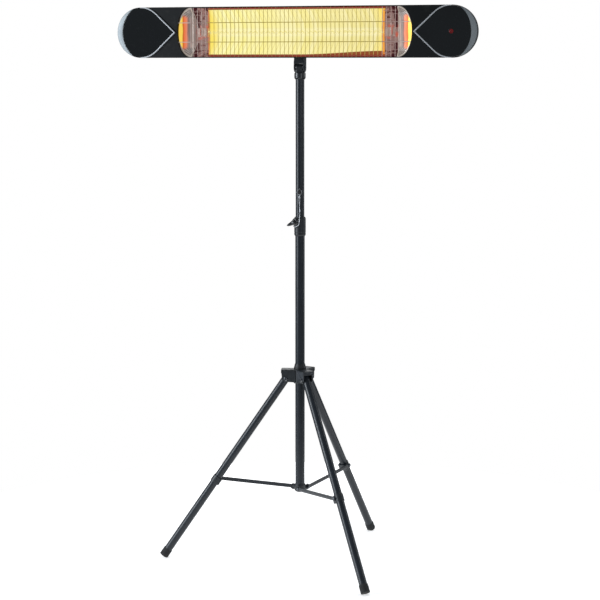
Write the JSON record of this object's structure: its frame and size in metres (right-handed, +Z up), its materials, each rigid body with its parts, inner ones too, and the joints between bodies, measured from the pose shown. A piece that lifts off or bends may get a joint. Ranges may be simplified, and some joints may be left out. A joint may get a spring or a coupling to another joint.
{
  "type": "outdoor heater",
  "caption": "Infrared bar heater with a glowing quartz lamp on a tilting head, a telescoping mast and a folding tripod.",
  "frame": {"origin": "where the mast axis meets the floor", "axes": "+Z up along the mast, +X along the heater towards its right end as seen from the front, the lamp faces -Y"},
  "size_m": [0.8898, 0.5931, 1.357],
  "materials": {
    "tube_black": "satin black powder coat",
    "cast_black": "satin black paint over a die casting",
    "shell_black": "fine-grained black powder coat",
    "gloss_panel": "gloss black moulded panel",
    "moulded_black": "fine-grained black nylon",
    "rubber_black": "matt black rubber",
    "dark_fastener": "blackened steel",
    "bright_wire": "bright zinc plating",
    "silver_trim": "satin silver plating",
    "reflector_mirror": "polished aluminium lit by the lamp",
    "guard_wire": "heat-tinted steel wire",
    "ceramic": "unglazed steatite ceramic",
    "quartz": "clear quartz, glowing",
    "carbon_glow": "glowing carbon spiral",
    "red_lens": "lit red lens",
    "board_green": "printed circuit board",
    "lead_sleeve": "braided glass-fibre sleeve"
  },
  "bodies": {
    "mast_lower": {"lower_tube": "tube_black", "tube_plug": "moulded_black", "bottom_bracket": "cast_black", "bracket_rivets": "dark_fastener", "clamp_collar": "cast_black"},
    "clamp_knob": {"clamp_knob": "moulded_black"},
    "mast_upper": {"upper_tube": "tube_black", "guide_plug": "moulded_black"},
    "lock_pin": {"lock_pin": "moulded_black", "pin_ring": "bright_wire", "lanyard": "bright_wire"},
    "hub": {"hub_crown": "cast_black", "hub_liner": "moulded_black", "hub_ring": "moulded_black", "hub_bolts": "dark_fastener"},
    "hub_knob": {"hub_knob": "moulded_black"},
    "head": {"head_socket": "cast_black", "socket_screw": "dark_fastener", "tilt_bolt": "dark_fastener"},
    "heater": {"tilt_bracket": "cast_black", "bracket_screws": "dark_fastener", "housing_shell": "shell_black", "front_frame": "shell_black", "housing_screws": "dark_fastener", "end_panel_left": "gloss_panel", "end_panel_right": "gloss_panel", "trim_left": "silver_trim", "trim_right": "silver_trim", "crescent_left": "silver_trim", "crescent_right": "silver_trim", "reflector": "reflector_mirror", "reflector_ends": "reflector_mirror", "quartz_tube": "quartz", "carbon_filament": "carbon_glow", "lamp_holders": "ceramic", "guard_grille": "guard_wire", "indicator_lens": "red_lens", "circuit_board": "board_green", "terminal_block": "ceramic", "lamp_leads": "lead_sleeve", "cable_gland": "moulded_black", "switch_frame": "moulded_black"},
    "power_rocker": {"power_rocker": "gloss_panel"},
    "leg_left": {"leg_left": "tube_black", "foot_left": "rubber_black", "leg_collar_left": "cast_black"},
    "brace_left": {"brace_left": "tube_black", "brace_rivet_left": "dark_fastener"},
    "leg_front": {"leg_front": "tube_black", "foot_front": "rubber_black", "leg_collar_front": "cast_black"},
    "brace_front": {"brace_front": "tube_black", "brace_rivet_front": "dark_fastener"},
    "leg_back": {"leg_back": "tube_black", "foot_back": "rubber_black", "leg_collar_back": "cast_black"},
    "brace_back": {"brace_back": "tube_black", "brace_rivet_back": "dark_fastener"}
  },
  "joints": [
    {"name": "mast_slide", "type": "slide", "parent": "mast_lower", "child": "mast_upper", "axis": [0, 0, 1], "range_m": [-0.05, 0.4], "deforming": ["lanyard"]},
    {"name": "hub_slide", "type": "slide", "parent": "mast_lower", "child": "hub", "axis": [0, 0, 1], "range_m": [0, 0.2261]},
    {"name": "clamp_turn", "type": "hinge", "parent": "mast_lower", "child": "clamp_knob", "pos_m": [0, 0, 0.843], "axis": [-0.4226, -0.9063, 0], "range_deg": [-180, 180]},
    {"name": "hub_knob_turn", "type": "hinge", "parent": "hub", "child": "hub_knob", "pos_m": [0, 0, 0.46], "axis": [-0.6909, 0.723, 0], "range_deg": [-180, 180]},
    {"name": "pin_pull", "type": "slide", "parent": "mast_upper", "child": "lock_pin", "axis": [0.1908, -0.9816, 0], "range_m": [0, 0.03]},
    {"name": "head_swivel", "type": "hinge", "parent": "mast_upper", "child": "head", "pos_m": [0, 0, 1.193], "axis": [0, 0, 1], "range_deg": [-170, 170]},
    {"name": "head_tilt", "type": "hinge", "parent": "head", "child": "heater", "pos_m": [0, 0, 1.213], "axis": [1, 0, 0], "range_deg": [-15, 60]},
    {"name": "rocker_press", "type": "hinge", "parent": "heater", "child": "power_rocker", "pos_m": [0.345, -0.009, 1.2965], "axis": [-1, 0, 0], "range_deg": [0, 16]},
    {"name": "leg_fold_left", "type": "hinge", "parent": "hub", "child": "leg_left", "pos_m": [-0.03303, -0.00805, 0.457], "axis": [0.2368, -0.9715, 0], "range_deg": [0, 34.15]},
    {"name": "brace_fold_left", "type": "hinge", "parent": "mast_lower", "child": "brace_left", "pos_m": [-0.01971, 0.00909, 0.183], "axis": [-0.2368, 0.9715, 0], "range_deg": [0, 79.51]},
    {"name": "leg_fold_front", "type": "hinge", "parent": "hub", "child": "leg_front", "pos_m": [0.02349, -0.02458, 0.457], "axis": [0.723, 0.6909, 0], "range_deg": [0, 34.15]},
    {"name": "brace_fold_front", "type": "hinge", "parent": "mast_lower", "child": "brace_front", "pos_m": [0.00198, -0.02162, 0.183], "axis": [-0.723, -0.6909, 0], "range_deg": [0, 79.51]},
    {"name": "leg_fold_back", "type": "hinge", "parent": "hub", "child": "leg_back", "pos_m": [0.00954, 0.03263, 0.457], "axis": [-0.9598, 0.2807, 0], "range_deg": [0, 34.15]},
    {"name": "brace_fold_back", "type": "hinge", "parent": "mast_lower", "child": "brace_back", "pos_m": [0.01773, 0.01253, 0.183], "axis": [0.9598, -0.2807, 0], "range_deg": [0, 79.51]}
  ],
  "couplings": [
    {"joint": "leg_fold_left", "follows": "hub_slide", "rad_per_m": 2.6349},
    {"joint": "brace_fold_left", "follows": "hub_slide", "rad_per_m": 6.1348},
    {"joint": "leg_fold_front", "follows": "hub_slide", "rad_per_m": 2.6349},
    {"joint": "brace_fold_front", "follows": "hub_slide", "rad_per_m": 6.1348},
    {"joint": "leg_fold_back", "follows": "hub_slide", "rad_per_m": 2.6349},
    {"joint": "brace_fold_back", "follows": "hub_slide", "rad_per_m": 6.1348}
  ]
}
